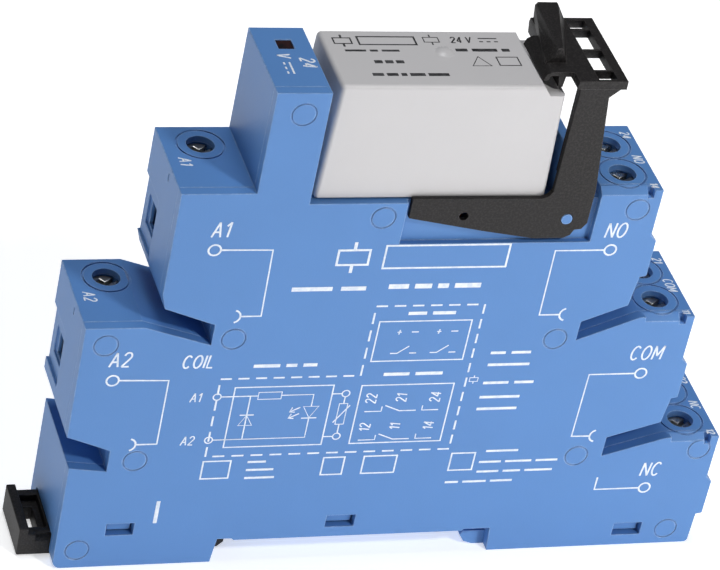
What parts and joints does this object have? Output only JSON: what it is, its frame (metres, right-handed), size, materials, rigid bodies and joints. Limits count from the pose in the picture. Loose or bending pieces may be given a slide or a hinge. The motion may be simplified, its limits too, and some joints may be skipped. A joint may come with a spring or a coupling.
{
  "type": "plug-in relay with rail socket",
  "caption": "Slim stepped rail socket holding a plug-in relay, with a swinging retaining lever, screw clamps for wires and a sliding foot that grips the rail.",
  "frame": {"origin": "centre of the flat seat that rests on the 35 mm rail, half-way through the module's width", "axes": "+X along the socket from the coil terminals to the contact terminals, +Y through the width from the printed side to the back, +Z away from the rail"},
  "size_m": [0.092, 0.014, 0.076],
  "materials": {
    "housing_blue": "fine matt moulded plastic",
    "relay_grey": "smooth satin moulded plastic",
    "lever_black": "matt black moulded plastic",
    "clear_blue": "clear tinted plastic",
    "board_green": "laminate",
    "component": "glossy coated component",
    "led_clear": "clear",
    "zinc_steel": "zinc-plated steel",
    "copper_alloy": "bright copper alloy",
    "soft_iron": "nickel-plated iron",
    "coil_wire": "enamelled copper wire",
    "base_dark": "matt moulded plastic",
    "bobbin_white": "satin moulded plastic"
  },
  "bodies": {
    "socket": {"housing_body": "housing_blue", "side_cover": "housing_blue", "led_lens": "clear_blue", "circuit_board": "board_green", "led": "led_clear", "resistor": "component", "diode": "component", "varistor": "component", "coil_socket_front": "copper_alloy", "coil_socket_back": "copper_alloy", "bar_a1": "copper_alloy", "bar_a2": "copper_alloy", "bar_no_front": "copper_alloy", "bar_no_back": "copper_alloy", "bar_com_front": "copper_alloy", "bar_com_back": "copper_alloy", "bar_nc_front": "copper_alloy", "bar_nc_back": "copper_alloy"},
    "foot": {"rail_foot": "lever_black"},
    "lever": {"retaining_lever": "lever_black"},
    "relay": {"relay_case": "relay_grey", "relay_base": "base_dark", "coil_pins": "copper_alloy", "bobbin": "bobbin_white", "coil_winding": "coil_wire", "core": "soft_iron", "yoke": "soft_iron", "armature_spring": "copper_alloy", "common_pin_front": "copper_alloy", "fixed_nc_front": "copper_alloy", "fixed_no_front": "copper_alloy", "common_pin_back": "copper_alloy", "fixed_nc_back": "copper_alloy", "fixed_no_back": "copper_alloy"},
    "armature": {"armature": "soft_iron"},
    "card": {"actuator_card": "bobbin_white"},
    "blade_front": {"moving_blade_front": "copper_alloy"},
    "blade_back": {"moving_blade_back": "copper_alloy"},
    "screw_a1": {"screw_a1": "zinc_steel"},
    "clamp_a1": {"clamp_a1": "zinc_steel"},
    "screw_a2": {"screw_a2": "zinc_steel"},
    "clamp_a2": {"clamp_a2": "zinc_steel"},
    "screw_no_front": {"screw_no_front": "zinc_steel"},
    "clamp_no_front": {"clamp_no_front": "zinc_steel"},
    "screw_no_back": {"screw_no_back": "zinc_steel"},
    "clamp_no_back": {"clamp_no_back": "zinc_steel"},
    "screw_com_front": {"screw_com_front": "zinc_steel"},
    "clamp_com_front": {"clamp_com_front": "zinc_steel"},
    "screw_com_back": {"screw_com_back": "zinc_steel"},
    "clamp_com_back": {"clamp_com_back": "zinc_steel"},
    "screw_nc_front": {"screw_nc_front": "zinc_steel"},
    "clamp_nc_front": {"clamp_nc_front": "zinc_steel"},
    "screw_nc_back": {"screw_nc_back": "zinc_steel"},
    "clamp_nc_back": {"clamp_nc_back": "zinc_steel"}
  },
  "joints": [
    {"name": "foot_slide", "type": "slide", "parent": "socket", "child": "foot", "axis": [-1, 0, 0], "range_m": [0, 0.0035], "stiffness_N_per_m": 700, "springref_m": -0.002},
    {"name": "lever_swing", "type": "hinge", "parent": "socket", "child": "lever", "pos_m": [0.01795, 0, 0.0499], "axis": [0, 1, 0], "range_deg": [0, 12]},
    {"name": "relay_lift", "type": "slide", "parent": "socket", "child": "relay", "axis": [0, 0, 1], "range_m": [0, 0.0025]},
    {"name": "armature_swing", "type": "hinge", "parent": "relay", "child": "armature", "pos_m": [0.0023, 0, 0.062], "axis": [0, 1, 0], "range_deg": [0, 5]},
    {"name": "card_slide", "type": "slide", "parent": "relay", "child": "card", "axis": [1, 0, 0], "range_m": [0, 0.00037], "stiffness_N_per_m": 300, "springref_m": -0.0006},
    {"name": "blade_front_bend", "type": "hinge", "parent": "relay", "child": "blade_front", "pos_m": [0.0077, -0.0036, 0.0549], "axis": [0, 1, 0], "range_deg": [0, 2]},
    {"name": "blade_back_bend", "type": "hinge", "parent": "relay", "child": "blade_back", "pos_m": [0.0077, 0.0036, 0.0549], "axis": [0, 1, 0], "range_deg": [0, 2]},
    {"name": "turn_screw_a1", "type": "hinge", "parent": "socket", "child": "screw_a1", "pos_m": [-0.0269, 0.0033, 0.0522], "axis": [0, 0, -1], "range_deg": [0, 1800]},
    {"name": "raise_clamp_a1", "type": "slide", "parent": "socket", "child": "clamp_a1", "axis": [0, 0, 1], "range_m": [0, 0.0025]},
    {"name": "turn_screw_a2", "type": "hinge", "parent": "socket", "child": "screw_a2", "pos_m": [-0.0357, 0.0033, 0.0325], "axis": [0, 0, -1], "range_deg": [0, 1800]},
    {"name": "raise_clamp_a2", "type": "slide", "parent": "socket", "child": "clamp_a2", "axis": [0, 0, 1], "range_m": [0, 0.0025]},
    {"name": "turn_screw_no_front", "type": "hinge", "parent": "socket", "child": "screw_no_front", "pos_m": [0.0256, -0.0032, 0.0522], "axis": [0, 0, -1], "range_deg": [0, 1800]},
    {"name": "raise_clamp_no_front", "type": "slide", "parent": "socket", "child": "clamp_no_front", "axis": [0, 0, 1], "range_m": [0, 0.0025]},
    {"name": "turn_screw_no_back", "type": "hinge", "parent": "socket", "child": "screw_no_back", "pos_m": [0.0256, 0.0029, 0.0522], "axis": [0, 0, -1], "range_deg": [0, 1800]},
    {"name": "raise_clamp_no_back", "type": "slide", "parent": "socket", "child": "clamp_no_back", "axis": [0, 0, 1], "range_m": [0, 0.0025]},
    {"name": "turn_screw_com_front", "type": "hinge", "parent": "socket", "child": "screw_com_front", "pos_m": [0.0348, -0.0032, 0.0325], "axis": [0, 0, -1], "range_deg": [0, 1800]},
    {"name": "raise_clamp_com_front", "type": "slide", "parent": "socket", "child": "clamp_com_front", "axis": [0, 0, 1], "range_m": [0, 0.0025]},
    {"name": "turn_screw_com_back", "type": "hinge", "parent": "socket", "child": "screw_com_back", "pos_m": [0.0348, 0.0029, 0.0325], "axis": [0, 0, -1], "range_deg": [0, 1800]},
    {"name": "raise_clamp_com_back", "type": "slide", "parent": "socket", "child": "clamp_com_back", "axis": [0, 0, 1], "range_m": [0, 0.0025]},
    {"name": "turn_screw_nc_front", "type": "hinge", "parent": "socket", "child": "screw_nc_front", "pos_m": [0.0433, -0.0032, 0.0126], "axis": [0, 0, -1], "range_deg": [0, 1800]},
    {"name": "raise_clamp_nc_front", "type": "slide", "parent": "socket", "child": "clamp_nc_front", "axis": [0, 0, 1], "range_m": [0, 0.0025]},
    {"name": "turn_screw_nc_back", "type": "hinge", "parent": "socket", "child": "screw_nc_back", "pos_m": [0.0433, 0.0029, 0.0126], "axis": [0, 0, -1], "range_deg": [0, 1800]},
    {"name": "raise_clamp_nc_back", "type": "slide", "parent": "socket", "child": "clamp_nc_back", "axis": [0, 0, 1], "range_m": [0, 0.0025]}
  ],
  "couplings": [
    {"joint": "lever_swing", "follows": "relay_lift", "rad_per_m": 83.333},
    {"joint": "armature_swing", "follows": "card_slide", "rad_per_m": 232.56},
    {"joint": "blade_front_bend", "follows": "card_slide", "rad_per_m": 87.67},
    {"joint": "blade_back_bend", "follows": "card_slide", "rad_per_m": 87.67},
    {"joint": "turn_screw_a1", "follows": "raise_clamp_a1", "rad_per_m": 12566},
    {"joint": "turn_screw_a2", "follows": "raise_clamp_a2", "rad_per_m": 12566},
    {"joint": "turn_screw_no_front", "follows": "raise_clamp_no_front", "rad_per_m": 12566},
    {"joint": "turn_screw_no_back", "follows": "raise_clamp_no_back", "rad_per_m": 12566},
    {"joint": "turn_screw_com_front", "follows": "raise_clamp_com_front", "rad_per_m": 12566},
    {"joint": "turn_screw_com_back", "follows": "raise_clamp_com_back", "rad_per_m": 12566},
    {"joint": "turn_screw_nc_front", "follows": "raise_clamp_nc_front", "rad_per_m": 12566},
    {"joint": "turn_screw_nc_back", "follows": "raise_clamp_nc_back", "rad_per_m": 12566}
  ]
}
